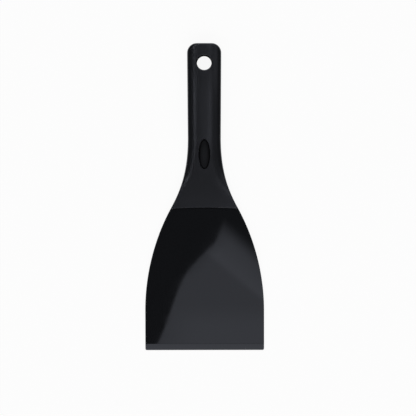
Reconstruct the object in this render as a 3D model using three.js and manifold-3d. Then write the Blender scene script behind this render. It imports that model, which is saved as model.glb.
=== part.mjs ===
// A dough scraper for one hand: a thin moulded blade whose tang runs up inside a satin handle.
// Key posts of the handle and the stem of an oval rubber inlay pass through the tang and lock it.
//
// Millimetres. The pieces are drawn flat: x runs across the blade, y runs from the blade's edge (y = 0)
// to the butt of the handle, and z is the thickness, with z = 0 on the mid-plane of the tang.
// The finished scraper lies on its back, on the blade's edge and the heel of the handle.

import Module from "manifold-3d";
import * as THREE from "three";
import { mergeVertices } from "three/addons/utils/BufferGeometryUtils.js";

// Overall sizes
const OVERALL_LENGTH = 260;
const BLADE_LENGTH = 120.5; // edge to seam, along the sides
const BLADE_WIDTH = 101;
const SEAM_WIDTH = 57.3;
const NECK_WIDTH = 27.8;
const BUTT_WIDTH = 28.8;

// Outline of blade and shoulder: one sweep that leaves the parallel sides and ends in the neck
const BLADE_STRAIGHT = 34; // parallel part of the blade's sides, from the edge
const BLADE_SIDE_PULL = 39.5; // how far the sides hold their direction before they turn in
const SEAM_LEAN = THREE.MathUtils.degToRad(29); // lean of the outline where it crosses the seam
const SEAM_PULL = 18;
const NECK_PULL = 28;
const NECK_FROM_SEAM = 60;
const SEAM_ARCH = 1; // the seam is this much higher on the centre line

// Blade
const BLADE_ROOT_THICKNESS = 2.4;
const BLADE_TIP_THICKNESS = 1.8; // where the bevel starts
const BEVEL_LENGTH = 5.5;
const EDGE_THICKNESS = 0.6;
const EDGE_LAND = 4; // strip along the back of the edge that lies flat on the table

// Tang inside the handle
const SHOULDER_WALL = 3.2; // handle plastic beside the root of the blade
const TANG_WIDTH = 19;
const TANG_FROM_SEAM = 32; // where the root has narrowed to the tang
const ROOT_PULL = 12;
const TANG_PULL = 14;
const TANG_END_RADIUS = 7;

// Key posts of the handle, through holes in the root and the tang
const KEY_HOLE_DIAMETER = 5;
const ROOT_KEY_SPACING = 12.5;
const ROOT_KEY_FROM_SEAM = 8;
const TANG_KEY_SPACING = 14;
const TANG_KEY_MARGIN = 7; // least distance of a key from the end of the tang and from the inlay

// Handle: full thickness at the seam, neck, middle of the grip and butt
const LIP_THICKNESS = 5;
const NECK_THICKNESS = 12;
const GRIP_SWELL = 1.2; // extra thickness in the middle of the grip
const BUTT_THICKNESS = 11;
const LIP_CROWN = 0.15; // how far the faces fall from their middle to the sides, at the seam
const GRIP_CROWN = 3.2; // the same along the grip
const CROWN_WIDTH = 14; // how far in from the sides the fall begins
const CROWN_POWER = 3; // the middle of the faces is flatter, and their sides fall faster, with more
const CROWN_START = 8; // from the seam to where the crown starts to grow
const CROWN_END = 40; // and to where it has grown to that of the grip
const LIP_EDGE_RADIUS = 0.9; // rounded edges between the faces and the side walls, at the seam
const GRIP_EDGE_RADIUS = 1.2;
const BUTT_CORNER_RADIUS = 7.9;

// Hang hole
const HANG_HOLE_DIAMETER = 12.4;
const HANG_HOLE_FROM_BUTT = 16.4;
const HANG_HOLE_RIM = 1;

// Oval rubber inlay
const INLAY_WIDTH = 9.8;
const INLAY_LENGTH = 25.4;
const INLAY_FROM_SEAM = 46.1;
const INLAY_RECESS = 0.15; // the tops of its domes lie this much below the handle's faces
const INLAY_DOME = 1.4; // how far its domes fall away to their rims

const CLEARANCE = 0.3; // between neighbouring pieces

// Fineness of the curved surfaces
const SHOULDER_STEPS = 14;
const GRIP_STEPS = 8;
const BUTT_STEPS = 9;
const SECTION_STEPS = 20;
const CURVE_STEPS = 16;
const TANG_END_STEPS = 4;
const ROUND_STEPS = 32;
const POST_STEPS = 16;
const RIM_STEPS = 4;
const DOME_STEPS = 4;

const OVERSIZE = 2; // how far a cutting shape reaches past the body that it cuts
const WELD = 1e-4; // corners of a surface that are this close are one corner

// Places that follow from the sizes. The tang ends halfway between the inlay and the hang hole.
const NECK_Y = BLADE_LENGTH + NECK_FROM_SEAM;
const BUTT_CORNER_Y = OVERALL_LENGTH - BUTT_CORNER_RADIUS;
const HANG_HOLE_Y = OVERALL_LENGTH - HANG_HOLE_FROM_BUTT;
const INLAY_Y = BLADE_LENGTH + INLAY_FROM_SEAM;
const INLAY_TOP_Y = INLAY_Y + INLAY_LENGTH / 2;
const TANG_END_Y = (INLAY_TOP_Y + HANG_HOLE_Y - HANG_HOLE_DIAMETER / 2) / 2;
const CUT_HEIGHT = Math.max(NECK_THICKNESS, BUTT_THICKNESS) + GRIP_SWELL + OVERSIZE;

const { lerp, smoothstep } = THREE.MathUtils;
const point = (x, y) => new THREE.Vector2(x, y);

const wasm = await Module();
wasm.setup();

function toSolid(geometry) {
  const bare = new THREE.BufferGeometry();
  bare.setAttribute("position", geometry.getAttribute("position"));
  bare.setIndex(geometry.getIndex());
  const welded = mergeVertices(bare, WELD);
  const mesh = new wasm.Mesh({
    numProp: 3,
    vertProperties: new Float32Array(welded.getAttribute("position").array),
    triVerts: new Uint32Array(welded.getIndex().array),
  });
  return new wasm.Manifold(mesh);
}

function toGeometry(solid) {
  const { vertProperties, triVerts } = solid.getMesh();
  const geometry = new THREE.BufferGeometry();
  geometry.setAttribute("position", new THREE.BufferAttribute(new Float32Array(vertProperties), 3));
  geometry.setIndex(Array.from(triVerts));
  geometry.computeVertexNormals();
  return geometry;
}

// A flat shape in x and y, given thickness about the mid-plane.
function plate(points, thickness) {
  const shape = new THREE.Shape(points);
  const geometry = new THREE.ExtrudeGeometry(shape, { depth: thickness, bevelEnabled: false });
  return toSolid(geometry.translate(0, 0, -thickness / 2));
}

// The right-hand side of an outline, from bottom to top, closed by its mirror image.
function mirrored(right) {
  const left = right.map(({ x, y }) => point(-x, y));
  return [...right, ...left.reverse()];
}

function ellipse(centreX, centreY, halfWidth, halfLength, steps) {
  const curve = new THREE.EllipseCurve(centreX, centreY, halfWidth, halfLength);
  return curve.getPoints(steps).slice(0, -1);
}

// A quarter circle about a centre, from one angle in degrees, turning left.
function quarterArc(centre, radius, fromDegrees, steps) {
  const points = [];
  for (let i = 0; i <= steps; i += 1) {
    const angle = THREE.MathUtils.degToRad(fromDegrees + (90 * i) / steps);
    points.push(point(centre.x + radius * Math.cos(angle), centre.y + radius * Math.sin(angle)));
  }
  return points;
}

// Outline: both pieces follow the same sweep, so they are flush where it crosses the seam
const seamCorner = point(SEAM_WIDTH / 2, BLADE_LENGTH);
const sweepDirection = point(-Math.sin(SEAM_LEAN), Math.cos(SEAM_LEAN));

const bladeSide = new THREE.CubicBezierCurve(
  point(BLADE_WIDTH / 2, BLADE_STRAIGHT),
  point(BLADE_WIDTH / 2, BLADE_STRAIGHT + BLADE_SIDE_PULL),
  seamCorner.clone().addScaledVector(sweepDirection, -SEAM_PULL),
  seamCorner,
);

const shoulderSide = new THREE.CubicBezierCurve(
  seamCorner,
  seamCorner.clone().addScaledVector(sweepDirection, SEAM_PULL),
  point(NECK_WIDTH / 2, NECK_Y - NECK_PULL),
  point(NECK_WIDTH / 2, NECK_Y),
);

// Root and tang, as points up the right-hand side. They grow by the clearance to make their socket.
function tangSide(grow) {
  const rootCorner = point(SEAM_WIDTH / 2 - SHOULDER_WALL, BLADE_LENGTH);
  const root = new THREE.CubicBezierCurve(
    rootCorner,
    rootCorner.clone().addScaledVector(sweepDirection, ROOT_PULL),
    point(TANG_WIDTH / 2, BLADE_LENGTH + TANG_FROM_SEAM - TANG_PULL),
    point(TANG_WIDTH / 2, BLADE_LENGTH + TANG_FROM_SEAM),
  );
  const points = [];
  for (let i = 0; i <= CURVE_STEPS; i += 1) {
    const along = root.getTangent(i / CURVE_STEPS);
    const outward = point(along.y, -along.x);
    points.push(root.getPoint(i / CURVE_STEPS).addScaledVector(outward, grow));
  }
  const endCentre = point(TANG_WIDTH / 2 - TANG_END_RADIUS, TANG_END_Y - TANG_END_RADIUS);
  return [...points, ...quarterArc(endCentre, TANG_END_RADIUS + grow, 0, TANG_END_STEPS)];
}

// Keys in a row across the root, and as many down the tang as fit between its end and the inlay.
function keyPlaces() {
  const places = [-1, 0, 1].map((side) => {
    return point(side * ROOT_KEY_SPACING, BLADE_LENGTH + ROOT_KEY_FROM_SEAM);
  });
  const lowest = INLAY_TOP_Y + TANG_KEY_MARGIN;
  for (let y = TANG_END_Y - TANG_KEY_MARGIN; y >= lowest; y -= TANG_KEY_SPACING) {
    places.push(point(0, y));
  }
  return places;
}

// Round posts at all the key places, long enough to pass through the handle.
function keyPosts(diameter) {
  const posts = keyPlaces().map(({ x, y }) => {
    return plate(ellipse(x, y, diameter / 2, diameter / 2, POST_STEPS), CUT_HEIGHT);
  });
  return posts.reduce((all, post) => all.add(post));
}

// The oval window for the inlay, right through the handle and the tang.
function inlayWindow() {
  return plate(ellipse(0, INLAY_Y, INLAY_WIDTH / 2, INLAY_LENGTH / 2, ROUND_STEPS), CUT_HEIGHT);
}

// Blade: its outline with the tang, cut to a side profile that tapers to a bevelled edge.
// The land at the edge has the lean at which the scraper lies on its back.
function bladeSolid(lean) {
  const ledgeY = BLADE_LENGTH - CLEARANCE;
  const side = bladeSide.getPoints(CURVE_STEPS).slice(0, -1);
  const ledgeOuter = seamCorner.clone().addScaledVector(sweepDirection, -CLEARANCE / sweepDirection.y);
  const ledgeInner = point(SEAM_WIDTH / 2 - SHOULDER_WALL, ledgeY);
  const outline = mirrored([
    point(BLADE_WIDTH / 2, 0),
    ...side,
    ledgeOuter,
    ledgeInner,
    ...tangSide(0),
  ]);

  const root = BLADE_ROOT_THICKNESS / 2;
  const tip = BLADE_TIP_THICKNESS / 2;
  const end = TANG_END_Y + OVERSIZE;
  const profile = new THREE.Shape([
    point(0, -tip),
    point(EDGE_LAND, -tip - EDGE_LAND * Math.tan(lean)),
    point(BLADE_LENGTH, -root),
    point(end, -root),
    point(end, root),
    point(BLADE_LENGTH, root),
    point(BEVEL_LENGTH, tip),
    point(0, EDGE_THICKNESS - tip),
  ]);
  const span = BLADE_WIDTH + 2 * OVERSIZE;
  const slab = new THREE.ExtrudeGeometry(profile, { depth: span, bevelEnabled: false });
  slab.translate(0, 0, -span / 2).rotateY(Math.PI / 2).rotateX(Math.PI / 2);

  return plate(outline, BLADE_ROOT_THICKNESS + OVERSIZE)
    .intersect(toSolid(slab))
    .subtract(keyPosts(KEY_HOLE_DIAMETER))
    .subtract(inlayWindow());
}

// Half of the handle's thickness along its length: a ramp up the shoulder, then a swelling grip.
function halfThickness(y) {
  if (y < NECK_Y) {
    return lerp(LIP_THICKNESS, NECK_THICKNESS, smoothstep(y, BLADE_LENGTH, NECK_Y)) / 2;
  }
  const along = (y - NECK_Y) / (OVERALL_LENGTH - NECK_Y);
  const taper = lerp(NECK_THICKNESS, BUTT_THICKNESS, smoothstep(along, 0, 1));
  return (taper + GRIP_SWELL * Math.sin(Math.PI * along) ** 2) / 2;
}

// Distance of a point of the handle from its outline: straight across, or to the corners and end of the butt.
function fromOutline(x, y, halfWidth) {
  if (y <= BUTT_CORNER_Y) {
    return halfWidth - Math.abs(x);
  }
  const besideCorner = Math.max(0, Math.abs(x) - (BUTT_WIDTH / 2 - BUTT_CORNER_RADIUS));
  return Math.max(0, BUTT_CORNER_RADIUS - Math.hypot(besideCorner, y - BUTT_CORNER_Y));
}

// Height of the handle's face over the mid-plane: crowned across, with rounded edges.
function faceHeight(x, y, halfWidth) {
  const up = smoothstep(y, BLADE_LENGTH, NECK_Y);
  const grown = smoothstep(y, BLADE_LENGTH + CROWN_START, BLADE_LENGTH + CROWN_END);
  const crownSide = y > BUTT_CORNER_Y ? BUTT_WIDTH / 2 : halfWidth;
  const across = Math.max(0, 1 - (crownSide - Math.abs(x)) / CROWN_WIDTH);
  const crown = lerp(LIP_CROWN, GRIP_CROWN, grown) * across ** CROWN_POWER;
  const radius = lerp(LIP_EDGE_RADIUS, GRIP_EDGE_RADIUS, up);
  const inside = Math.max(0, radius - fromOutline(x, y, halfWidth));
  return halfThickness(y) - crown - radius + Math.sqrt(radius ** 2 - inside ** 2);
}

// Points up the right-hand side of the handle, from the seam to the butt.
function handleSide() {
  const sides = shoulderSide.getPoints(SHOULDER_STEPS);
  const gripWidth = (y) => lerp(NECK_WIDTH, BUTT_WIDTH, (y - NECK_Y) / (BUTT_CORNER_Y - NECK_Y)) / 2;
  for (let i = 1; i <= GRIP_STEPS; i += 1) {
    const y = lerp(NECK_Y, BUTT_CORNER_Y, i / GRIP_STEPS);
    sides.push(point(gripWidth(y), y));
  }
  for (let i = 1; i <= BUTT_STEPS; i += 1) {
    const angle = (Math.PI * i) / (2 * BUTT_STEPS);
    const inward = BUTT_CORNER_RADIUS * (1 - Math.cos(angle));
    sides.push(point(BUTT_WIDTH / 2 - inward, BUTT_CORNER_Y + BUTT_CORNER_RADIUS * Math.sin(angle)));
  }
  return sides;
}

// The handle's body: a loft through its sections, each a front face and a back face joined by side walls.
function handleLoft() {
  const positions = [];
  const indices = [];
  const ring = 2 * (SECTION_STEPS + 1);
  const stations = handleSide();

  for (const { x: halfWidth, y } of stations) {
    for (let i = 0; i < ring; i += 1) {
      const front = i <= SECTION_STEPS;
      const step = front ? i : ring - 1 - i;
      const x = halfWidth * Math.sin(Math.PI * (0.5 - step / SECTION_STEPS));
      const height = faceHeight(x, y, halfWidth);
      positions.push(x, y, front ? height : -height);
    }
  }

  for (let station = 1; station < stations.length; station += 1) {
    for (let i = 0; i < ring; i += 1) {
      const next = (i + 1) % ring;
      const a = (station - 1) * ring + i;
      const b = (station - 1) * ring + next;
      const c = station * ring + next;
      const d = station * ring + i;
      indices.push(a, d, b, b, d, c);
    }
  }

  // Both ends are closed between the front and the back of their section.
  const last = (stations.length - 1) * ring;
  for (let i = 0; i < SECTION_STEPS; i += 1) {
    const backA = ring - 1 - i;
    const backB = backA - 1;
    indices.push(i, i + 1, backB, i, backB, backA);
    indices.push(last + i, last + backB, last + i + 1, last + i, last + backA, last + backB);
  }

  const geometry = new THREE.BufferGeometry();
  geometry.setAttribute("position", new THREE.Float32BufferAttribute(positions, 3));
  geometry.setIndex(indices);
  return toSolid(geometry);
}

// What the arched seam takes off the lower end of the handle.
function seamCut() {
  const half = SEAM_WIDTH / 2;
  const shape = new THREE.Shape();
  shape.moveTo(-half, BLADE_LENGTH);
  shape.lineTo(-half, BLADE_LENGTH - OVERSIZE);
  shape.lineTo(half, BLADE_LENGTH - OVERSIZE);
  shape.lineTo(half, BLADE_LENGTH);
  shape.quadraticCurveTo(0, BLADE_LENGTH + 2 * SEAM_ARCH, -half, BLADE_LENGTH);
  return plate(shape.getPoints(CURVE_STEPS).slice(0, -1), LIP_THICKNESS + 2 * OVERSIZE);
}

// The socket follows the root and the tang, a clearance away on every side.
function socketSolid() {
  const outline = tangSide(CLEARANCE);
  const mouth = point(outline[0].x, BLADE_LENGTH - OVERSIZE);
  const space = plate(mirrored([mouth, ...outline]), BLADE_ROOT_THICKNESS + 2 * CLEARANCE);
  return space.subtract(keyPosts(KEY_HOLE_DIAMETER - 2 * CLEARANCE));
}

// The hang hole, flared at both faces so that its rims are rounded.
function hangHoleSolid() {
  const radius = HANG_HOLE_DIAMETER / 2;
  const face = halfThickness(HANG_HOLE_Y);
  const upper = [];
  for (let i = 0; i <= RIM_STEPS; i += 1) {
    const angle = (Math.PI * i) / (2 * RIM_STEPS);
    const outward = HANG_HOLE_RIM * (1 - Math.cos(angle));
    upper.push(point(radius + outward, face - HANG_HOLE_RIM + HANG_HOLE_RIM * Math.sin(angle)));
  }
  upper.push(point(radius + HANG_HOLE_RIM, face + OVERSIZE), point(0, face + OVERSIZE));
  const lower = upper.map(({ x, y }) => point(x, -y)).reverse();
  const geometry = new THREE.LatheGeometry([...lower, ...upper], ROUND_STEPS);
  return toSolid(geometry.rotateX(Math.PI / 2).translate(0, HANG_HOLE_Y, 0));
}

function handleSolid() {
  return handleLoft()
    .subtract(seamCut())
    .subtract(socketSolid())
    .subtract(hangHoleSolid())
    .subtract(inlayWindow());
}

// The inlay fills its window from face to face. Both faces are domes that follow the slope of the handle.
function inlaySolid() {
  const halfWidth = INLAY_WIDTH / 2 - CLEARANCE;
  const halfLength = INLAY_LENGTH / 2 - CLEARANCE;
  const back = [];
  for (let i = 0; i <= DOME_STEPS; i += 1) {
    back.push(point(i / DOME_STEPS, -1));
  }
  const front = back.map(({ x, y }) => point(x, -y)).reverse();
  const geometry = new THREE.LatheGeometry([...back, ...front], ROUND_STEPS).rotateX(Math.PI / 2);

  const places = geometry.getAttribute("position");
  for (let i = 0; i < places.count; i += 1) {
    const fromCentre = Math.hypot(places.getX(i), places.getY(i));
    const y = INLAY_Y + halfLength * places.getY(i);
    const height = halfThickness(y) - INLAY_RECESS - INLAY_DOME * fromCentre ** 2;
    places.setXYZ(i, halfWidth * places.getX(i), y, Math.sign(places.getZ(i)) * height);
  }
  return toSolid(geometry);
}

// The lean at which the back of the blade's edge and the heel of the handle both touch the table.
function restLean(handle) {
  const places = handle.getAttribute("position");
  let lean = 0;
  for (let i = 0; i < places.count; i += 1) {
    const belowEdge = -places.getZ(i) - BLADE_TIP_THICKNESS / 2;
    lean = Math.max(lean, Math.atan2(belowEdge, places.getY(i)));
  }
  return lean;
}

const bladePlastic = new THREE.MeshStandardMaterial({ color: 0x111214, roughness: 0.05, metalness: 0 });
const handlePlastic = new THREE.MeshStandardMaterial({ color: 0x101113, roughness: 0.3, metalness: 0 });
const inlayRubber = new THREE.MeshStandardMaterial({ color: 0x0f0f10, roughness: 0.7, metalness: 0 });

function piece(name, solid, material) {
  const mesh = new THREE.Mesh(toGeometry(solid), material);
  mesh.name = name;
  return mesh;
}

const handle = piece("handle", handleSolid(), handlePlastic);
const lean = restLean(handle.geometry);
const blade = piece("blade", bladeSolid(lean), bladePlastic);
const thumbInlay = piece("thumb_inlay", inlaySolid(), inlayRubber);

const drawnFlat = new THREE.Group();
drawnFlat.add(blade, handle, thumbInlay);
drawnFlat.position.z = BLADE_TIP_THICKNESS / 2;

// The origin is under the middle of the scraper, on the table.
const onItsBack = new THREE.Group();
onItsBack.add(drawnFlat);
onItsBack.rotation.x = lean;
onItsBack.position.y = (-OVERALL_LENGTH / 2) * Math.cos(lean);

const doughScraper = new THREE.Group();
doughScraper.name = "dough_scraper";
doughScraper.add(onItsBack);

export default doughScraper;
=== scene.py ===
"""A black plastic dough scraper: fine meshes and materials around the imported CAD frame."""

import math

import bmesh
import bpy
import numpy as np
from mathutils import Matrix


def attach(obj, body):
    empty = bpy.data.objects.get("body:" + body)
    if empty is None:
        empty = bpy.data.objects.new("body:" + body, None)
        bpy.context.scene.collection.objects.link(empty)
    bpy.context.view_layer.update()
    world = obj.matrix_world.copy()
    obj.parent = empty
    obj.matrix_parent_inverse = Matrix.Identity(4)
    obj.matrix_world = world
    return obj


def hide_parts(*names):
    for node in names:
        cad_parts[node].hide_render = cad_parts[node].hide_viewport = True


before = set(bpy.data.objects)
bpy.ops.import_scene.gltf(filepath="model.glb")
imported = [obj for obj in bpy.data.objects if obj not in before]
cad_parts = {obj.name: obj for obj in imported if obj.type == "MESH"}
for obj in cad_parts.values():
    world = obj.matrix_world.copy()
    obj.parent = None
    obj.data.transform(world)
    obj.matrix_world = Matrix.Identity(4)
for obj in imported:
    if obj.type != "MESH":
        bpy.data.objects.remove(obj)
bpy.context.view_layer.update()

MM = 0.001

# Sizes in millimetres. Pieces are drawn flat, with x across, y from the blade's edge to the butt
# and z through the thickness.
LENGTH = 260.0
SEAM_Y = 120.5
SEAM_HALF = 28.65
SEAM_ARCH = 1.0
SEAM_LEAN = math.radians(29)
NECK_Y = 180.5
NECK_HALF = 13.9
BUTT_HALF = 14.4
BUTT_CORNER = 7.9
BUTT_CORNER_Y = LENGTH - BUTT_CORNER
REST_LEAN = 0.0283535
LIFT = 0.9
SWEEP = np.array([-math.sin(SEAM_LEAN), math.cos(SEAM_LEAN)])
SEAM_CORNER = np.array([SEAM_HALF, SEAM_Y])
SEAM_PULL = 18.0
NECK_PULL = 28.0
SIDE_POINTS = 400

LIP_THICKNESS = 5.0
NECK_THICKNESS = 12.0
BUTT_THICKNESS = 11.0
GRIP_SWELL = 1.2
LIP_EDGE_ROUND = 0.9
GRIP_EDGE_ROUND = 1.2
CROWN_WIDTH = 14.0
LIP_CROWN = 0.15
GRIP_CROWN = 3.2
CROWN_STARTS_Y = SEAM_Y + 8
CROWN_FULL_Y = SEAM_Y + 40

BLADE_HALF = 50.5
BLADE_STRAIGHT_Y = 34.0
BLADE_PULL_Y = 73.5
BLADE_CORNER = 1.2
BEVEL = 5.5
TIP_HALF = 0.9
ROOT_HALF = 1.2
EDGE_TOP = -0.3
EDGE_LAND = 4.0

HOLE_Y = 243.6
HOLE_RADIUS = 6.2
HOLE_RIM = 1.0
OVAL_Y = 166.6
OVAL_HALF_X = 4.9
OVAL_HALF_Y = 12.7
OVAL_RIM = 0.12
OVAL_STEP = 0.25
OVAL_SIDES = 96

TANG_HALF = 9.5
TANG_INSET = 3.2
TANG_ROOT_PULL = 12.0
TANG_STRAIGHT_Y = SEAM_Y + 32
TANG_SIDE_PULL = 14.0
TANG_CORNER = 7.0
TANG_END_Y = 208.35
TANG_STARTS_Y = SEAM_Y - 2
SOCKET_STARTS_Y = SEAM_Y - 3
TANG_ROOT_STEPS = 32
TANG_CORNER_STEPS = 12
KEY_RADIUS = 2.5
KEY_SIDES = 32
KEY_PLACES = [(-12.5, 128.5), (0.0, 128.5), (12.5, 128.5), (0.0, 201.35), (0.0, 187.35)]
SEAT_GAP = 0.04
INSIDE = 0.02
CUTTER_HALF = 4.0
SHARP_DEGREES = 38


def lerp(a, b, t):
    return a + (b - a) * t


def smoothstep(low, high, x):
    t = np.clip((np.asarray(x, float) - low) / (high - low), 0.0, 1.0)
    return t * t * (3 - 2 * t)


def bezier(p0, p1, p2, p3, count):
    t = np.linspace(0, 1, count)[:, None]
    p0, p1, p2, p3 = (np.asarray(p, float) for p in (p0, p1, p2, p3))
    return p0 * (1 - t) ** 3 + 3 * p1 * t * (1 - t) ** 2 + 3 * p2 * t * t * (1 - t) + p3 * t**3


def rolled(distance, radius):
    """How far a face falls at a distance from an edge that is rounded to a radius."""
    inside = np.clip(radius - np.asarray(distance, float), 0.0, radius)
    return radius - np.sqrt(np.maximum(radius * radius - inside * inside, 0.0))


def into_round(radius, steps):
    """Distances in from an edge that is rounded to a radius, closest together at the edge."""
    return radius * (1 - np.cos(np.linspace(0, math.pi / 2, steps)))


def place(points):
    """Drawn-flat millimetres to metres in the frame, where the scraper lies on its back."""
    p = np.asarray(points, float)
    c, s = math.cos(REST_LEAN), math.sin(REST_LEAN)
    z = p[:, 2] + LIFT
    y = p[:, 1] * c - z * s - LENGTH / 2 * c
    return np.column_stack([p[:, 0], y, p[:, 1] * s + z * c]) * MM


def drawn(points):
    """The way back, from metres in the frame to drawn-flat millimetres."""
    p = np.asarray(points, float) / MM
    c, s = math.cos(REST_LEAN), math.sin(REST_LEAN)
    y = p[:, 1] + LENGTH / 2 * c
    return np.column_stack([p[:, 0], y * c + p[:, 2] * s, p[:, 2] * c - y * s - LIFT])


# Outline

BLADE_SIDE = bezier(
    (BLADE_HALF, BLADE_STRAIGHT_Y),
    (BLADE_HALF, BLADE_PULL_Y),
    SEAM_CORNER - SEAM_PULL * SWEEP,
    SEAM_CORNER,
    SIDE_POINTS,
)
SHOULDER_SIDE = bezier(
    SEAM_CORNER,
    SEAM_CORNER + SEAM_PULL * SWEEP,
    (NECK_HALF, NECK_Y - NECK_PULL),
    (NECK_HALF, NECK_Y),
    SIDE_POINTS,
)


def seam_rise(x):
    """How much higher than its ends the seam is at x."""
    return SEAM_ARCH * (1 - (np.asarray(x, float) / SEAM_HALF) ** 2)


def blade_half(y):
    y = np.asarray(y, float)
    half = np.interp(y, BLADE_SIDE[:, 1], BLADE_SIDE[:, 0])
    return half - rolled(y, BLADE_CORNER)


def handle_half(y):
    y = np.asarray(y, float)
    shoulder = np.interp(y, SHOULDER_SIDE[:, 1], SHOULDER_SIDE[:, 0])
    grip = lerp(NECK_HALF, BUTT_HALF, (y - NECK_Y) / (BUTT_CORNER_Y - NECK_Y))
    half = np.where(y < NECK_Y, shoulder, np.minimum(grip, BUTT_HALF))
    return half - rolled(LENGTH - y, BUTT_CORNER)


# Handle section

def toward_neck(y):
    return smoothstep(SEAM_Y, NECK_Y, y)


def half_thickness(y):
    y = np.asarray(y, float)
    shoulder = lerp(LIP_THICKNESS, NECK_THICKNESS, toward_neck(y)) / 2
    along = np.clip((y - NECK_Y) / (LENGTH - NECK_Y), 0, 1)
    taper = lerp(NECK_THICKNESS, BUTT_THICKNESS, smoothstep(0, 1, along))
    grip = (taper + GRIP_SWELL * np.sin(math.pi * along) ** 2) / 2
    return np.where(y < NECK_Y, shoulder, grip) - INSIDE


def edge_round(y):
    """Radius of the rounded edges between the faces and the side walls."""
    return lerp(LIP_EDGE_ROUND, GRIP_EDGE_ROUND, toward_neck(y))


def face_height(x, y):
    """Height of the crowned face, before its edges are rounded."""
    side = np.where(np.asarray(y) > BUTT_CORNER_Y, BUTT_HALF, handle_half(y))
    across = np.clip(1 - (side - np.abs(x)) / CROWN_WIDTH, 0, 1)
    grown = smoothstep(CROWN_STARTS_Y, CROWN_FULL_Y, y)
    return half_thickness(y) - lerp(LIP_CROWN, GRIP_CROWN, grown) * across**3


# Mesh helpers

def mesh_object(name, points, faces):
    mesh = bpy.data.meshes.new(name)
    mesh.from_pydata([tuple(p) for p in place(points)], [], faces)
    clean = bmesh.new()
    clean.from_mesh(mesh)
    bmesh.ops.recalc_face_normals(clean, faces=clean.faces)
    clean.to_mesh(mesh)
    clean.free()
    made = bpy.data.objects.new(name, mesh)
    bpy.context.scene.collection.objects.link(made)
    return made


def combine(target, tool, operation):
    """Cuts a tool from a target or joins the two, and removes the tool."""
    step = target.modifiers.new(operation.lower(), "BOOLEAN")
    step.operation = operation
    step.solver = "MANIFOLD"
    step.object = tool
    graph = bpy.context.evaluated_depsgraph_get()
    joined = bpy.data.meshes.new_from_object(target.evaluated_get(graph))
    target.modifiers.clear()
    old = target.data
    target.data = joined
    joined.name = old.name
    bpy.data.meshes.remove(old)
    spent = tool.data
    bpy.data.objects.remove(tool)
    bpy.data.meshes.remove(spent)


def slab(name, outline, low, high):
    """A flat outline in x and y between two levels."""
    count = len(outline)
    points = [(x, y, low) for x, y in outline] + [(x, y, high) for x, y in outline]
    faces = [tuple(reversed(range(count))), tuple(range(count, 2 * count))]
    for i in range(count):
        j = (i + 1) % count
        faces.append((i, j, count + j, count + i))
    return mesh_object(name, points, faces)


def ellipse(x, y, half_x, half_y, count):
    turn = np.linspace(0, 2 * math.pi, count, endpoint=False)
    return [(x + half_x * math.cos(a), y + half_y * math.sin(a)) for a in turn]


def bridge(faces, a, b):
    """Closes the strip between two closed rings of vertex numbers."""
    for i in range(len(a)):
        j = (i + 1) % len(a)
        faces.append((a[i], a[j], b[j], b[i]))


def quad(grid, r, c):
    return grid[r, c], grid[r, c + 1], grid[r + 1, c + 1], grid[r + 1, c]


def tang_outline(grow, start):
    """The blade's tang from a level below the seam to its rounded end, grown by a gap."""
    corner = np.array([SEAM_HALF - TANG_INSET, SEAM_Y])
    root = bezier(
        corner,
        corner + TANG_ROOT_PULL * SWEEP,
        (TANG_HALF, TANG_STRAIGHT_Y - TANG_SIDE_PULL),
        (TANG_HALF, TANG_STRAIGHT_Y),
        TANG_ROOT_STEPS,
    )
    turn = np.gradient(root, axis=0)
    turn /= np.linalg.norm(turn, axis=1)[:, None]
    right = root + grow * np.column_stack([turn[:, 1], -turn[:, 0]])
    angles = np.linspace(0, math.pi / 2, TANG_CORNER_STEPS)
    around = np.column_stack([np.cos(angles), np.sin(angles)])
    centre = np.array([TANG_HALF - TANG_CORNER, TANG_END_Y - TANG_CORNER])
    end = centre + (TANG_CORNER + grow) * around
    right = np.vstack([[right[0, 0], start], right, end])
    left = right[::-1] * (-1, 1)
    return [tuple(p) for p in np.vstack([right, left])]


def finish_shading(made):
    made.data.shade_smooth()
    made.data.set_sharp_from_angle(angle=math.radians(SHARP_DEGREES))


# Handle

COLUMN_COUNT = 61
LIP_ROUND = 0.4
LIP_STEPS = 7
NEAR_LIP = (0.65, 1.05, 1.6, 2.3, 3.2)
BODY_STARTS = 4.3
BODY_STEPS = 104
BUTT_STEPS = 20
ARCH_FADE = 30.0
PARTING_RIDGE = 0.05
RIDGE_FADE = (246.0, 251.0)
ROUND_STEPS = 9
WALL_STEPS = (0.4, 0.08, 0.0, -0.08, -0.4)

# How far along and what share across the grid an opening takes out
HOLE_BLOCK = (9.0, 0.72)
OVAL_BLOCK = (15.6, 0.6)

# Rings of quads on the face round an opening, over its rim and down its wall
RING_STEPS = 9
RING_CROWDING = 1.5
RIM_STEPS = 9
WALL_RINGS = 13


def side_stations():
    """Points up the right-hand side with their outward directions, from the seam to the butt's flat."""
    body = np.linspace(BODY_STARTS, BUTT_CORNER_Y - SEAM_Y, BODY_STEPS)
    y = SEAM_Y + np.concatenate([into_round(LIP_ROUND, LIP_STEPS), NEAR_LIP, body])
    x = handle_half(y)
    slope = np.gradient(x, y)
    sides = np.column_stack([x, y])
    outward = np.column_stack([np.ones_like(y), -slope]) / np.sqrt(1 + slope * slope)[:, None]
    turn = np.linspace(0, math.pi / 2, BUTT_STEPS)[1:]
    around = np.column_stack([np.cos(turn), np.sin(turn)])
    centre = np.array([BUTT_HALF - BUTT_CORNER, BUTT_CORNER_Y])
    return np.vstack([sides, centre + BUTT_CORNER * around]), np.vstack([outward, around]), len(y)


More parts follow.
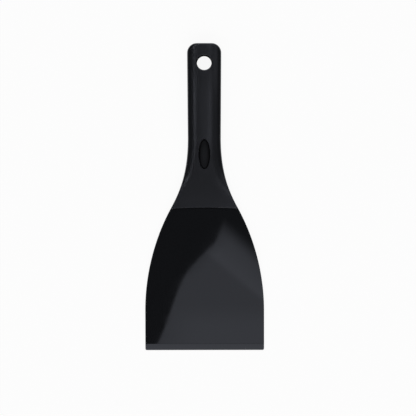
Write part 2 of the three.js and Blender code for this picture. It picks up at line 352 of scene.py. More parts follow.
class HandleSkin:
    """The handle's outer skin as quads, with rings of quads round the hang hole and the oval window."""

    def __init__(self):
        self.points = []
        self.faces = []
        self.sides, self.outward, self.straight = side_stations()
        self.columns = np.linspace(-1, 1, COLUMN_COUNT)
        self.last = COLUMN_COUNT - 1
        self.make_grid()
        hole = self.block(HOLE_Y, *HOLE_BLOCK)
        oval = self.block(OVAL_Y, *OVAL_BLOCK)
        self.skip = [hole, oval]
        self.make_faces()
        self.make_edges()
        self.make_opening(hole, HOLE_Y, HOLE_RADIUS, HOLE_RADIUS, HOLE_RIM)
        self.make_opening(oval, OVAL_Y, OVAL_HALF_X, OVAL_HALF_Y, OVAL_RIM)

    def add(self, x, y, z):
        self.points.append((float(x), float(y), float(z)))
        return len(self.points) - 1

    def inset(self, distance):
        """The right-hand side moved in. Below the butt's corner it moves straight across."""
        moved = self.sides - distance[:, None] * self.outward
        n = self.straight
        moved[:n, 0] = self.sides[:n, 0] - distance[:n]
        moved[:n, 1] = self.sides[:n, 1]
        return moved

    def arch(self, x, y, row):
        """Rows near the seam follow its arch."""
        from_seam = self.sides[row, 1] - SEAM_Y
        fade = 1 - smoothstep(0, ARCH_FADE, from_seam)
        return y + fade * (seam_rise(x) - seam_rise(self.sides[row, 0]))

    def lip_fall(self, row):
        return rolled(self.sides[row, 1] - SEAM_Y, LIP_ROUND)

    def make_grid(self):
        rows = np.arange(len(self.sides))
        inner = self.inset(edge_round(self.sides[:, 1]))
        self.x = self.columns[None, :] * inner[:, 0][:, None]
        y = np.repeat(inner[:, 1][:, None], COLUMN_COUNT, axis=1)
        self.y = self.arch(self.x, y, rows[:, None])
        self.z = face_height(self.x, self.y) - self.lip_fall(rows)[:, None]

    def block(self, centre_y, reach, across):
        """Rows and columns of the grid that an opening takes out."""
        row_y = self.y[:, 0]
        r0 = int(np.argmin(np.abs(row_y - (centre_y - reach))))
        r1 = int(np.argmin(np.abs(row_y - (centre_y + reach))))
        c0 = int(np.argmin(np.abs(self.columns + across)))
        return r0, r1, c0, self.last - c0

    def inside(self, r, c):
        return any(r0 < r < r1 and c0 < c < c1 for r0, r1, c0, c1 in self.skip)

    def make_faces(self):
        shape = self.x.shape
        self.front = -np.ones(shape, int)
        self.back = -np.ones(shape, int)
        for r in range(shape[0]):
            for c in range(shape[1]):
                if not self.inside(r, c):
                    x, y, z = self.x[r, c], self.y[r, c], self.z[r, c]
                    self.front[r, c] = self.add(x, y, z)
                    self.back[r, c] = self.add(x, y, -z)
        for r in range(shape[0] - 1):
            for c in range(self.last):
                if any(r0 <= r < r1 and c0 <= c < c1 for r0, r1, c0, c1 in self.skip):
                    continue
                for grid in (self.front, self.back):
                    self.faces.append(quad(grid, r, c))

    def make_edges(self):
        """The rounded edges and side walls, up one side, along the butt and down the other."""
        top = len(self.sides) - 1
        loop = [(r, self.last) for r in range(top + 1)]
        loop += [(top, c) for c in range(self.last - 1, -1, -1)]
        loop += [(r, 0) for r in range(top - 1, -1, -1)]
        strips = [[self.front[r, c] for r, c in loop]]
        backs = [[self.back[r, c] for r, c in loop]]
        for angle in np.linspace(math.pi / 2, 0, ROUND_STEPS)[1:]:
            ring = [self.edge_point(r, c, angle) for r, c in loop]
            strips.append([self.add(x, y, z) for x, y, z in ring])
            backs.append([self.add(x, y, -z) for x, y, z in ring])
        for step in WALL_STEPS:
            wall = []
            for (r, c), (x, y, z) in zip(loop, ring):
                ridge = PARTING_RIDGE * (1 - smoothstep(*RIDGE_FADE, y)) if step == 0 else 0
                wall.append(self.add(x + math.copysign(ridge, x), y, step * z))
            strips.append(wall)
        strips += backs[::-1]
        for a, b in zip(strips, strips[1:]):
            for i in range(len(loop) - 1):
                self.faces.append((a[i], a[i + 1], b[i + 1], b[i]))
        self.close_seam(strips)

    def edge_point(self, r, c, angle):
        """A point of the rounded edge beside a grid point, at an angle from the side wall."""
        radius = float(edge_round(self.sides[r, 1]))
        inward = radius * (1 - math.cos(angle))
        fall = radius * (1 - math.sin(angle))
        lip = float(self.lip_fall(r)) * (1 - fall / radius)
        if 0 < c < self.last:
            x, y = self.x[r, c], LENGTH - inward
        else:
            x, y = self.inset(np.full(len(self.sides), inward))[r]
            x = math.copysign(x, self.columns[c])
            y = float(self.arch(x, y, r))
        return x, y, float(face_height(x, y)) - fall - lip

    def close_seam(self, strips):
        """The end wall of the handle at the seam."""
        for c in range(self.last):
            a, b = self.front[0, c], self.front[0, c + 1]
            self.faces.append((a, b, self.back[0, c + 1], self.back[0, c]))
        for end in (0, -1):
            self.faces.append(tuple(strip[end] for strip in strips))

    def make_opening(self, block, centre_y, half_x, half_y, rim):
        """An oval opening with rounded rims, from the front face through to the back."""
        r0, r1, c0, c1 = block
        loop = [(r0, c) for c in range(c0, c1)]
        loop += [(r, c1) for r in range(r0, r1)]
        loop += [(r1, c) for c in range(c1, c0, -1)]
        loop += [(r, c0) for r in range(r1, r0, -1)]
        edge = np.array([(self.x[r, c], self.y[r, c]) for r, c in loop])
        turn = np.arctan2((edge[:, 1] - centre_y) / half_y, edge[:, 0] / half_x)
        unit = np.column_stack([np.cos(turn), np.sin(turn)])
        middle = np.array([0, centre_y])

        def outline(grow):
            return middle + unit * (half_x + grow, half_y + grow)

        rings = []
        for t in np.linspace(0, 1, RING_STEPS)[1:]:
            ring = lerp(edge, outline(rim), 1 - (1 - t) ** RING_CROWDING)
            rings.append((ring, face_height(ring[:, 0], ring[:, 1])))
        for angle in np.linspace(0, math.pi / 2, RIM_STEPS)[1:]:
            ring = outline(rim * (1 - math.sin(angle)))
            fall = rim * (1 - math.cos(angle))
            rings.append((ring, face_height(ring[:, 0], ring[:, 1]) - fall))

        ends = []
        for grid, sign in ((self.front, 1), (self.back, -1)):
            before = [grid[r, c] for r, c in loop]
            for ring, height in rings:
                now = [self.add(x, y, sign * z) for (x, y), z in zip(ring, height)]
                bridge(self.faces, before, now)
                before = now
            ends.append(before)
        wall, height = rings[-1]
        before = ends[0]
        for t in np.linspace(1, -1, WALL_RINGS)[1:-1]:
            now = [self.add(x, y, t * z) for (x, y), z in zip(wall, height)]
            bridge(self.faces, before, now)
            before = now
        bridge(self.faces, before, ends[1])


def make_handle():
    skin = HandleSkin()
    made = mesh_object("handle_shell", skin.points, skin.faces)
    half = ROOT_HALF + SEAT_GAP
    socket = slab("socket", tang_outline(SEAT_GAP, SOCKET_STARTS_Y), -half, half)
    for x, y in KEY_PLACES:
        radius = KEY_RADIUS - SEAT_GAP
        post = slab("post", ellipse(x, y, radius, radius, KEY_SIDES), -CUTTER_HALF, CUTTER_HALF)
        combine(socket, post, "DIFFERENCE")
    combine(made, socket, "DIFFERENCE")
    finish_shading(made)
    return made


# Blade

SIDE_ROUND = 0.32
SIDE_ROUND_SHARE = 0.45
EDGE_ROUND = 0.1
BLADE_ARCH_FADE = 40.0

# Rows up the blade and columns in from its sides, closest together where the surface bends
CORNER_STEPS = 10
CORNER_TOP_Y = 2.0
EDGE_ROWS = (0.015, 0.045, 0.1)
BEVEL_ROWS = (1.7, 2.4, 3.2, 4.0, 4.7, 5.15, 5.4, 5.5, 5.6, 5.85, 6.4)
FLAT_STARTS_Y = 7.4
FLAT_STEPS = 96
SIDE_STEPS = 7
NEAR_SIDE = (0.5, 0.8, 1.3, 2.1, 3.2, 4.6)
MIDDLE_STEPS = 61


def blade_top(y):
    y = np.asarray(y, float)
    bevel = lerp(EDGE_TOP, TIP_HALF, y / BEVEL)
    flat = lerp(TIP_HALF, ROOT_HALF, (y - BEVEL) / (SEAM_Y - BEVEL))
    return np.where(y < BEVEL, bevel, flat)


def blade_back(y):
    """A land that lies flat on the table, then a slow taper to the root."""
    y = np.asarray(y, float)
    land = TIP_HALF + np.minimum(y, EDGE_LAND) * math.tan(REST_LEAN)
    return -lerp(land, ROOT_HALF, np.clip((y - EDGE_LAND) / (SEAM_Y - EDGE_LAND), 0, 1))


def blade_rows():
    low = {round(float(y), 4) for y in [*into_round(BLADE_CORNER, CORNER_STEPS), *EDGE_ROWS]}
    flat = np.linspace(FLAT_STARTS_Y, SEAM_Y - SEAT_GAP, FLAT_STEPS)
    return np.array([*sorted(low), *BEVEL_ROWS, *flat])


def make_plate():
    """The blade without its tang: a grid over each face and a wall round them."""
    rows = blade_rows()
    inset = np.concatenate([into_round(SIDE_ROUND, SIDE_STEPS), NEAR_SIDE])
    middle = np.linspace(-1, 1, MIDDLE_STEPS)[1:-1]

    half = blade_half(rows)
    inner = half - inset[-1]
    left = -half[:, None] + inset[None, :]
    x = np.hstack([left, middle[None, :] * inner[:, None], -left[:, ::-1]])
    fade = smoothstep(SEAM_Y - BLADE_ARCH_FADE, SEAM_Y, rows)
    y = rows[:, None] + np.maximum(seam_rise(x), 0) * fade[:, None]
    slope = np.gradient(half, rows)
    slope[rows < CORNER_TOP_Y] = 0
    from_side = (half[:, None] - np.abs(x)) / np.sqrt(1 + slope * slope)[:, None]
    thick = blade_top(rows) - blade_back(rows)
    round_off = np.minimum(SIDE_ROUND, SIDE_ROUND_SHARE * thick)[:, None]
    fall = np.where(from_side < round_off, rolled(from_side, round_off), 0)
    fall = np.maximum(fall, rolled(rows, EDGE_ROUND)[:, None])
    top = blade_top(rows)[:, None] - fall
    back = blade_back(rows)[:, None] + fall

    points = [*zip(x.ravel(), y.ravel(), top.ravel()), *zip(x.ravel(), y.ravel(), back.ravel())]
    front_grid = np.arange(x.size).reshape(x.shape)
    back_grid = front_grid + x.size
    faces = []
    for grid in (front_grid, back_grid):
        for r in range(x.shape[0] - 1):
            faces += [quad(grid, r, c) for c in range(x.shape[1] - 1)]

    def around(grid):
        return [*grid[0, :-1], *grid[:-1, -1], *grid[-1, :0:-1], *grid[:0:-1, 0]]

    bridge(faces, around(front_grid), around(back_grid))
    return mesh_object("blade_plate", points, faces)


def make_blade():
    made = make_plate()
    buried = ROOT_HALF - INSIDE
    tang = slab("tang", tang_outline(0, TANG_STARTS_Y), -buried, buried)
    openings = [ellipse(x, y, KEY_RADIUS, KEY_RADIUS, KEY_SIDES) for x, y in KEY_PLACES]
    window = OVAL_HALF_X - OVAL_STEP, OVAL_HALF_Y - OVAL_STEP
    openings.append(ellipse(0, OVAL_Y, *window, OVAL_SIDES))
    for opening in openings:
        combine(tang, slab("opening", opening, -CUTTER_HALF, CUTTER_HALF), "DIFFERENCE")
    combine(made, tang, "UNION")
    finish_shading(made)
    return made


# Thumb inlay

INLAY_GAP = 0.3
INLAY_STEM_GAP = 0.08
INLAY_STEM_GROW = INLAY_GAP - INLAY_STEM_GAP
INLAY_EDGE = 0.14
INLAY_SINK = 0.15
INLAY_DOME = 1.4
INLAY_SIDES = 128
INLAY_DOME_STEPS = 19
INLAY_EDGE_STEPS = 7
WAIST_LEVEL = ROOT_HALF + 0.1

# How far below the dome's rim the side widens, and by how much
INLAY_FLARE = ((0.8, 0.05), (1.3, INLAY_STEM_GROW))


def make_inlay():
    """A domed pad on each face, joined by a stem that is narrower where it passes through the tang."""
    count = INLAY_SIDES
    unit = np.array(ellipse(0, 0, 1, 1, count))

    def ring(share, grow=0.0):
        half = np.array([OVAL_HALF_X - INLAY_GAP + grow, OVAL_HALF_Y - INLAY_GAP + grow])
        return unit * half * share + (0, OVAL_Y)

    def dome(places, share):
        return half_thickness(places[:, 1]) - INLAY_SINK - INLAY_DOME * share**2

    rings = []
    for share in np.linspace(0, 1, INLAY_DOME_STEPS)[1:-1]:
        places = ring(share)
        rings.append((places, dome(places, share)))
    for angle in np.linspace(0, math.pi / 2, INLAY_EDGE_STEPS):
        inward = INLAY_EDGE * (1 - math.sin(angle))
        places = ring(1, -inward)
        rings.append((places, dome(places, 1) - INLAY_EDGE * (1 - math.cos(angle))))
    for down, grow in INLAY_FLARE:
        places = ring(1, grow)
        rings.append((places, dome(places, 1) - down))
    for grow in (INLAY_STEM_GROW, INLAY_STEM_GROW - OVAL_STEP):
        rings.append((ring(1, grow), np.full(count, WAIST_LEVEL)))

    points, faces, ends = [], [], []
    for sign in (1, -1):
        centre = len(points)
        points.append((0, OVAL_Y, sign * (half_thickness(OVAL_Y) - INLAY_SINK)))
        before = None
        for places, height in rings:
            now = list(range(len(points), len(points) + count))
            points += [(x, y, sign * z) for (x, y), z in zip(places, height)]
            if before is None:
                faces += [(centre, now[i], now[(i + 1) % count]) for i in range(count)]
            else:
                bridge(faces, before, now)
            before = now
        ends.append(before)
    bridge(faces, *ends)
    made = mesh_object("thumb_inlay_pad", points, faces)
    finish_shading(made)
    return made


# Materials

class Nodes:
    """A short way to make and join shader nodes."""

    def __init__(self, owner):
        owner.use_nodes = True
        self.tree = owner.node_tree
        self.tree.nodes.clear()

    def make(self, kind, links=None, **values):
        node = self.tree.nodes.new(kind)
        for name, value in values.items():
            setattr(node, name, value)
        for socket, source in (links or {}).items():
            self.join(source, node.inputs[socket])
        return node

    def join(self, source, socket):
        if isinstance(source, bpy.types.NodeSocket):
            self.tree.links.new(source, socket)
        else:
            socket.default_value = source

    def math(self, operation, a, b=0.0):
        return self.make("ShaderNodeMath", {0: a, 1: b}, operation=operation).outputs[0]

    def ramp(self, value, low, high, to_low=0.0, to_high=1.0, shape="SMOOTHSTEP"):
        node = self.make(
            "ShaderNodeMapRange",
            {"Value": value, "From Min": low, "From Max": high, "To Min": to_low, "To Max": to_high},
            interpolation_type=shape,
        )
        return node.outputs["Result"]

    def ramp_linear(self, *values):
        return self.ramp(*values, shape="LINEAR")

    def noise(self, place, scale, detail=2.0, roughness=0.5):
        node = self.make(
            "ShaderNodeTexNoise",
            {"Vector": place, "Scale": scale, "Detail": detail, "Roughness": roughness},
        )
        return node.outputs["Fac"]

    def stretched(self, place, scale):
        node = self.make("ShaderNodeMapping", {"Vector": place, "Scale": scale})
        return node.outputs["Vector"]

    def blend(self, factor, *colours):
        """A mix of two colours, each a plain red, green and blue or another node's output."""
        node = self.make("ShaderNodeMix", {0: factor}, data_type="RGBA")
        for colour, socket in zip(colours, (node.inputs[6], node.inputs[7])):
            self.join((*colour, 1) if isinstance(colour, tuple) else colour, socket)
        return node.outputs[2]

    def bump(self, height, distance, strength, under=None):
        links = {"Height": height, "Distance": distance, "Strength": strength}
        if under is not None:
            links["Normal"] = under
        return self.make("ShaderNodeBump", links).outputs["Normal"]

    # The stored wear; on the handle's lip and in the inlay's middle it is a painted highlight
    def wear_and_highlight(self):
        return self.make("ShaderNodeAttribute", attribute_name="wear_and_highlight").outputs["Fac"]


PLASTIC_IOR = 1.5
RUBBER_IOR = 1.45

# The blacks have a faint cool sheen
COOL_TINT = (0.82, 0.86, 1.0, 1.0)
HANDLE_DARK = (0.0044, 0.0046, 0.0054)
HANDLE_PALE = (0.0058, 0.0060, 0.0069)
# Paler black for worn spots on the butt and for a painted highlight along the lip
HANDLE_WORN_AND_HIGHLIGHT = (0.0205, 0.0209, 0.0222)
BORE_PALE = (0.0064, 0.0066, 0.0075)
BLADE_DARK = (0.0057, 0.0061, 0.0071)
BLADE_PALE = (0.0065, 0.0070, 0.0080)
BLADE_WORN = (0.02, 0.0203, 0.021)
RUBBER_DARK = (0.0027, 0.0028, 0.0030)
RUBBER_PALE = (0.0033, 0.0034, 0.0037)
# Paler black for a painted highlight in the middle of the inlay's dome
RUBBER_HIGHLIGHT = (0.0088, 0.0092, 0.0103)


def surface(name, ior):
    material = bpy.data.materials.new(name)
    nodes = Nodes(material)
    shader = nodes.make("ShaderNodeBsdfPrincipled", {"IOR": ior, "Specular Tint": COOL_TINT})
    nodes.make("ShaderNodeOutputMaterial", {"Surface": shader.outputs["BSDF"]})
    place = nodes.make("ShaderNodeTexCoord").outputs["Object"]
    return material, nodes, shader, place


def handle_plastic():
    """Satin black with a fine grain, faint sinks, rubbed spots where it is worn and a painted highlight
    along the lip.
    """
    material, n, shader, place = surface("satin_black_plastic", PLASTIC_IOR)
    cloud = n.noise(place, 55, 3)
    # Rubbed spots on the butt, and a painted highlight along the lip
    rub_and_highlight = n.math("MULTIPLY", n.wear_and_highlight(), n.ramp(n.noise(place, 700, 4), 0.3, 0.6))
    tone = n.blend(cloud, HANDLE_DARK, HANDLE_PALE)
    n.join(n.blend(rub_and_highlight, tone, HANDLE_WORN_AND_HIGHLIGHT), shader.inputs["Base Color"])
    rough = n.ramp(n.noise(place, 150, 4), 0.3, 0.7, 0.278, 0.292)
    rough = n.math("SUBTRACT", rough, n.math("MULTIPLY", rub_and_highlight, 0.08))
    n.join(rough, shader.inputs["Roughness"])
    grain = n.bump(n.noise(place, 2600, 3, 0.6), 0.00002, 0.1)
    sink = n.bump(n.noise(place, 45, 1), 0.0002, 0.03, grain)
    n.join(sink, shader.inputs["Normal"])
    return material


def bore_plastic():
    """The wall of the hang hole is left as moulded, without a shine."""
    material, n, shader, place = surface("dull_black_plastic", PLASTIC_IOR)
    cloud = n.noise(place, 400, 3)
    n.join(n.blend(cloud, HANDLE_DARK, BORE_PALE), shader.inputs["Base Color"])
    n.join(n.ramp(n.noise(place, 900, 3), 0.3, 0.7, 0.8, 0.9), shader.inputs["Roughness"])
    shader.inputs["Specular IOR Level"].default_value = 0.0
    n.join(n.bump(n.noise(place, 2600, 3, 0.6), 0.00003, 0.4), shader.inputs["Normal"])
    return material


def blade_plastic():
    """Polished black with slight waves, fine scuffs and a worn edge."""
    material, n, shader, place = surface("gloss_black_plastic", PLASTIC_IOR)
    cloud = n.noise(place, 40, 2)
    lines = n.noise(n.stretched(place, (2200, 26, 400)), 1, 3)
    scuffs = n.ramp(lines, 0.6, 0.78)
    tone = n.blend(cloud, BLADE_DARK, BLADE_PALE)
    worn = n.math("MULTIPLY", n.wear_and_highlight(), scuffs)
    n.join(n.blend(worn, tone, BLADE_WORN), shader.inputs["Base Color"])
    rough = n.ramp(n.noise(place, 90, 4), 0.3, 0.7, 0.018, 0.03)
    rough = n.math("ADD", rough, n.math("MULTIPLY", worn, 0.2))
    rough = n.math("ADD", rough, n.math("MULTIPLY", scuffs, 0.006))
    n.join(rough, shader.inputs["Roughness"])
    waves = n.bump(n.noise(place, 30, 1), 0.0001, 0.03)
    peel = n.bump(n.noise(place, 420, 2), 0.000004, 0.12, waves)
    n.join(peel, shader.inputs["Normal"])
    return material


def inlay_rubber():
    """Dull soft black with a fine grain, and a painted highlight that makes the middle of its dome
    paler.
    """
    material, n, shader, place = surface("soft_black_rubber", RUBBER_IOR)
    cloud = n.noise(place, 300, 3)
    tone = n.blend(cloud, RUBBER_DARK, RUBBER_PALE)
    # Painted highlight, paler towards the dome's middle
    n.join(n.blend(n.wear_and_highlight(), tone, RUBBER_HIGHLIGHT), shader.inputs["Base Color"])
    n.join(n.ramp(n.noise(place, 500, 3), 0.3, 0.7, 0.5, 0.58), shader.inputs["Roughness"])
    shader.inputs["Specular IOR Level"].default_value = 0.14
    n.join(n.bump(n.noise(place, 3200, 2), 0.000015, 0.3), shader.inputs["Normal"])
    return material


# Wear and painted highlights: how strong each is, and over which distances in from the lip, butt, edge
# or side it fades. The lip and the middle of the inlay are paler by a painted highlight; the butt, the
# blade's edge and its sides are worn.
LIP_HIGHLIGHT_DEPTH = (0.1, 1.2)
LIP_HIGHLIGHT_LEFT = 0.1
LIP_HIGHLIGHT_GROWS_X = (9.0, 13.0)
BUTT_WEAR = 0.3
BUTT_WEAR_Y = (LENGTH - 4, LENGTH - 0.5)
EDGE_WEAR = 0.8
EDGE_WEAR_DEPTH = (0.3, 5.0)
SIDE_WEAR = 0.35
SIDE_WEAR_DEPTH = (0.1, 0.7)
INLAY_HIGHLIGHT_SHARES = (0.2, 0.85)


def drawn_places(items, name):
    """The drawn-flat places of a mesh's vertices or faces."""
    flat = np.empty(len(items) * 3, np.float32)
    items.foreach_get(name, flat)
    return drawn(flat.reshape(-1, 3))


def set_wear_and_highlight(made, rule):
    """Stores each point's wear and painted highlight, from its drawn-flat place."""
    values = rule(drawn_places(made.data.vertices, "co"))
    layer = made.data.attributes.new("wear_and_highlight", "FLOAT", "POINT")
    layer.data.foreach_set("value", values.astype(np.float32))


def line_hole(made, material):
    """Gives the wall of the hang hole its own material."""
    made.data.materials.append(material)
    p = drawn_places(made.data.polygons, "center")
    wall = np.hypot(p[:, 0], p[:, 1] - HOLE_Y) < HOLE_RADIUS + HOLE_RIM / 2
    made.data.polygons.foreach_set("material_index", wall.astype(np.int32))


def handle_wear_and_highlight(p):
    """A painted highlight along the lip, strongest on its right, and a little wear all over the butt.
    """
    # Painted highlight along the lip, where its edge would catch the light
    lip = 1 - smoothstep(*LIP_HIGHLIGHT_DEPTH, p[:, 1] - SEAM_Y - seam_rise(p[:, 0]))
    lip *= lerp(LIP_HIGHLIGHT_LEFT, 1, smoothstep(*LIP_HIGHLIGHT_GROWS_X, p[:, 0]))
    butt = smoothstep(*BUTT_WEAR_Y, p[:, 1])
    return np.clip(lip + BUTT_WEAR * butt, 0, 1)


def blade_wear(p):
    """The working edge is worn most, and the sides a little."""
    edge = 1 - smoothstep(*EDGE_WEAR_DEPTH, p[:, 1])
    from_side = blade_half(np.clip(p[:, 1], 0, SEAM_Y)) - np.abs(p[:, 0])
    side = 1 - smoothstep(*SIDE_WEAR_DEPTH, from_side)
    return np.clip(EDGE_WEAR * edge + SIDE_WEAR * side, 0, 1)


def inlay_highlight(p):
    """A painted highlight: the middle of the inlay's dome is paler."""
    out = np.hypot(p[:, 0] / OVAL_HALF_X, (p[:, 1] - OVAL_Y) / OVAL_HALF_Y)
    return 1 - smoothstep(*INLAY_HIGHLIGHT_SHARES, out)


def dress(made, node, material, rule):
    set_wear_and_highlight(made, rule)
    made.data.materials.clear()
    made.data.materials.append(material)
    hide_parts(node)
    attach(made, "root")


dress(make_blade(), "blade", blade_plastic(), blade_wear)
handle = make_handle()
dress(handle, "handle", handle_plastic(), handle_wear_and_highlight)
line_hole(handle, bore_plastic())
dress(make_inlay(), "thumb_inlay", inlay_rubber(), inlay_highlight)


# Stage

FLOOR_HALF = 8.0
FLOOR_DROP = 0.0001
FLOOR_GLOW = 0.92
FLOOR_PAINT = (0.98, 0.98, 0.98, 1)
WHITE = (1, 1, 1, 1)


def make_floor():
    """A pale floor that looks nearly white and still shows the object's shadow."""
    mesh = bpy.data.meshes.new("floor")
    signs = ((-1, -1), (1, -1), (1, 1), (-1, 1))
    corners = [(x * FLOOR_HALF, y * FLOOR_HALF, 0) for x, y in signs]
    mesh.from_pydata(corners, [], [(0, 1, 2, 3)])
    floor = bpy.data.objects.new("floor", mesh)
    floor.location.z = -FLOOR_DROP
    bpy.context.scene.collection.objects.link(floor)
    material = bpy.data.materials.new("pale_floor")
    n = Nodes(material)
    paint = n.make("ShaderNodeBsdfDiffuse", {"Color": FLOOR_PAINT})
    white = n.make("ShaderNodeEmission", {"Color": WHITE, "Strength": 1.0})
    ray = n.make("ShaderNodeLightPath").outputs
    seen = n.math("MAXIMUM", ray["Is Camera Ray"], ray["Is Glossy Ray"])
    seen = n.math("MAXIMUM", seen, ray["Is Transmission Ray"])
    share = n.math("MULTIPLY", seen, FLOOR_GLOW)
    mixed = n.make("ShaderNodeMixShader", {0: share, 1: paint.outputs[0], 2: white.outputs[0]})
    n.make("ShaderNodeOutputMaterial", {"Surface": mixed.outputs[0]})
    mesh.materials.append(material)


ARC_SOFT = 9.0
HORIZON = (0.02, 0.06)

# The sheet over the blade, in tangents from straight up. Its left border is a curve, drawn in shares
# of the ranges ahead and across, and its two ends come first.
SHEET_AHEAD = (-0.19, -0.07)
SHEET_ACROSS = (-0.06, 0.02)
SHEET_BORDER = [
    (0.0, 0.12), (1.0, 0.92), (0.14, 0.24), (0.31, 0.337), (0.46, 0.416), (0.59, 0.508),
    (0.7, 0.64), (0.755, 0.722), (0.79, 0.78), (0.83, 0.83), (0.88, 0.865),
]
SHEET_SOFT = 0.0014
SHEET_SLOW_RISE = 0.013
SHEET_SLOW_LOSS = 0.2
SHEET_SLOW_FROM = (-0.125, -0.112)
SHEET_RIGHT_END = (0.05, 0.08)
SHEET_FRONT_END = (-0.215, -0.19)
SHEET_TOP_LEAN = 0.9
SHEET_TOP_END = (-0.076, -0.056)
SHEET_STEP_LEAN = 0.85
SHEET_STEP_RISE = (-0.105, -0.097)
SHEET_STEP_FALL = (-0.098, -0.073)
SHEET_LOW_AHEAD = (-0.166, -0.142)
SHEET_LOW_ACROSS = (-0.05, -0.005)


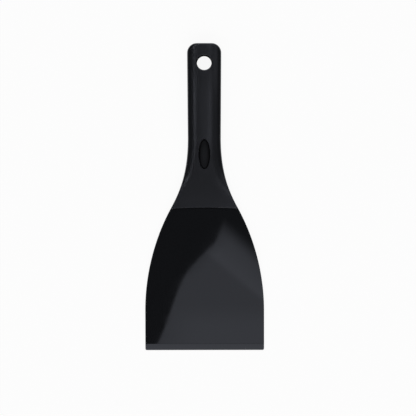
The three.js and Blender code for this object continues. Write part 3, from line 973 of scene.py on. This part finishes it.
class Studio:
    """The light round the object: walls, panels and a sheet on a dim surrounding, seen from it."""

    def __init__(self):
        world = bpy.data.worlds.new("studio")
        bpy.context.scene.world = world
        self.n = n = Nodes(world)
        direction = n.make("ShaderNodeTexCoord").outputs["Generated"]
        flat = n.make("ShaderNodeVectorMath", {0: direction, 1: (1, 1, 0)}, operation="MULTIPLY")
        level = n.make("ShaderNodeVectorMath", {0: flat.outputs["Vector"]}, operation="NORMALIZE")
        self.level = level.outputs["Vector"]
        split = n.make("ShaderNodeSeparateXYZ", {"Vector": direction}).outputs
        self.elevation = n.math("ARCSINE", split["Z"])
        self.above = n.math("GREATER_THAN", split["Z"], 0.0)
        up = n.math("MAXIMUM", split["Z"], 0.001)
        self.right = n.math("DIVIDE", split["X"], up)
        self.ahead = n.math("DIVIDE", split["Y"], up)
        self.total = 0.0

    def both(self, a, b):
        return self.n.math("MULTIPLY", a, b)

    def add(self, name, amount, strength):
        part = self.n.make("ShaderNodeMath", {0: amount, 1: strength}, operation="MULTIPLY", name=name)
        self.total = self.n.math("ADD", part.outputs[0], self.total)

    def band(self, value, low, high, soft):
        """1 between two values, falling to 0 over a soft border at each."""
        rise = self.n.ramp(value, low - soft, low + soft)
        fall = self.n.ramp(value, high - soft, high + soft, 1.0, 0.0)
        return self.both(rise, fall)

    def panel(self, name, x_range, y_range, soft, strength):
        """A soft rectangular panel overhead. Ranges are in degrees from straight up."""
        x = [math.tan(math.radians(a)) for a in x_range]
        y = [math.tan(math.radians(a)) for a in y_range]
        s = math.tan(math.radians(soft))
        across = self.band(self.right, x[0], x[1], s)
        along = self.band(self.ahead, y[0], y[1], s)
        self.add(name, self.both(self.both(across, along), self.above), strength)

    def arc(self, name, azimuth, half_width, top, strength):
        """A tall soft wall of light, brighter towards its top. Azimuth 0 is beyond the butt."""
        a = math.radians(azimuth)
        axis = (math.sin(a), math.cos(a), 0.0)
        dot = self.n.make("ShaderNodeVectorMath", {0: self.level, 1: axis}, operation="DOT_PRODUCT")
        ends = [math.cos(math.radians(half_width + s)) for s in (ARC_SOFT, -ARC_SOFT)]
        across = self.n.ramp(dot.outputs["Value"], *ends)
        below, above = (math.radians(top + s) for s in (-ARC_SOFT, ARC_SOFT))
        rise = self.n.ramp_linear(self.elevation, 0.0, below)
        fall = self.n.ramp(self.elevation, below, above, 1.0, 0.0)
        up = self.both(self.both(rise, rise), fall)
        self.add(name, self.both(across, up), strength)

    def border(self):
        """How far right of the sheet's S-shaped left border a direction is."""
        n = self.n
        along = n.ramp_linear(self.ahead, *SHEET_AHEAD)
        curve = n.make("ShaderNodeFloatCurve", {"Value": along})
        points = curve.mapping.curves[0].points
        for i, spot in enumerate(SHEET_BORDER):
            point = points[i] if i < 2 else points.new(0.5, 0.5)
            point.location = spot
        curve.mapping.update()
        edge = n.ramp_linear(curve.outputs[0], 0.0, 1.0, *SHEET_ACROSS)
        return n.math("SUBTRACT", self.right, edge)

    def leaning(self, lean):
        return self.n.math("ADD", self.ahead, self.n.math("MULTIPLY", self.right, lean))

    def sheet(self, strength, top_strength, low_strength):
        """A bright sheet over the blade, brighter still in a diagonal step and in a lower part."""
        n = self.n
        past = self.border()
        left = n.ramp(past, -SHEET_SOFT, SHEET_SOFT)
        slow = n.ramp_linear(past, 0.0, SHEET_SLOW_RISE, SHEET_SLOW_LOSS, 0.0)
        slow = self.both(slow, n.ramp(self.ahead, *SHEET_SLOW_FROM))
        left = self.both(left, n.math("SUBTRACT", 1.0, slow))
        right = n.ramp(self.right, *SHEET_RIGHT_END, 1.0, 0.0)
        top = n.ramp(self.leaning(SHEET_TOP_LEAN), *SHEET_TOP_END, 1.0, 0.0)
        front = n.ramp(self.ahead, *SHEET_FRONT_END)
        amount = self.both(self.both(left, right), self.both(top, front))
        amount = self.both(amount, self.above)
        self.add("sheet", amount, strength)
        inner = self.leaning(SHEET_STEP_LEAN)
        fall = n.ramp_linear(inner, *SHEET_STEP_FALL, 1.0, 0.0)
        step = self.both(n.ramp(inner, *SHEET_STEP_RISE), fall)
        self.add("sheet_top", self.both(amount, step), top_strength)
        lower = n.ramp(self.ahead, *SHEET_LOW_AHEAD, 1.0, 0.0)
        lower = self.both(lower, n.ramp(self.right, *SHEET_LOW_ACROSS))
        self.add("sheet_low", self.both(amount, lower), low_strength)

    def finish(self):
        """Joins the lights. The camera sees white, and so do reflections near the horizon."""
        n = self.n
        ray = n.make("ShaderNodeLightPath").outputs
        mirrored = n.math("MAXIMUM", ray["Is Glossy Ray"], ray["Is Transmission Ray"])
        horizon = n.ramp(self.elevation, *HORIZON, 1.0, 0.0)
        seen = n.math("MAXIMUM", ray["Is Camera Ray"], self.both(mirrored, horizon))
        strength = n.make("ShaderNodeMix", {0: seen, 2: self.total, 3: 1.0}).outputs[0]
        glow = n.make("ShaderNodeBackground", {"Color": WHITE, "Strength": strength})
        n.make("ShaderNodeOutputWorld", {"Surface": glow.outputs[0]})


make_floor()
studio = Studio()
studio.add("dim", 1.0, 0.04)
studio.arc("front", 180, 60, 55, 2.4)
studio.arc("back", 0, 48, 55, 2.8)
studio.panel("streak", (-29, -24), (0, 3), 1.5, 15.0)
studio.panel("left", (-20, -6), (-2, 14), 2, 0.33)
studio.panel("left_low", (-12, -4.5), (-11, -4), 1.5, 0.58)
studio.panel("middle", (-4, 3), (-1, 14), 1.5, 0.22)
studio.panel("crest", (3.2, 15), (-1, 3), 1.5, 3.5)
studio.panel("crest_low", (4.5, 11), (-8, -3), 1.5, 0.78)
studio.panel("right", (22, 45), (6, 20), 2, 0.75)
studio.sheet(0.76, 0.24, 0.17)
studio.finish()


# Camera, straight above, as in the photograph

CAMERA_PLACE = (0.0030, -0.0090, 1.0)
CAMERA_ROLL = -0.0018
CAMERA_LENS = 101.53
CAMERA_SENSOR = 36.0

camera_data = bpy.data.cameras.new("camera")
camera_data.sensor_width = CAMERA_SENSOR
camera_data.lens = CAMERA_LENS
camera = bpy.data.objects.new("camera", camera_data)
camera.location = CAMERA_PLACE
camera.rotation_euler.z = CAMERA_ROLL
bpy.context.scene.collection.objects.link(camera)
bpy.context.scene.camera = camera

bpy.context.scene.view_settings.view_transform = "Standard"
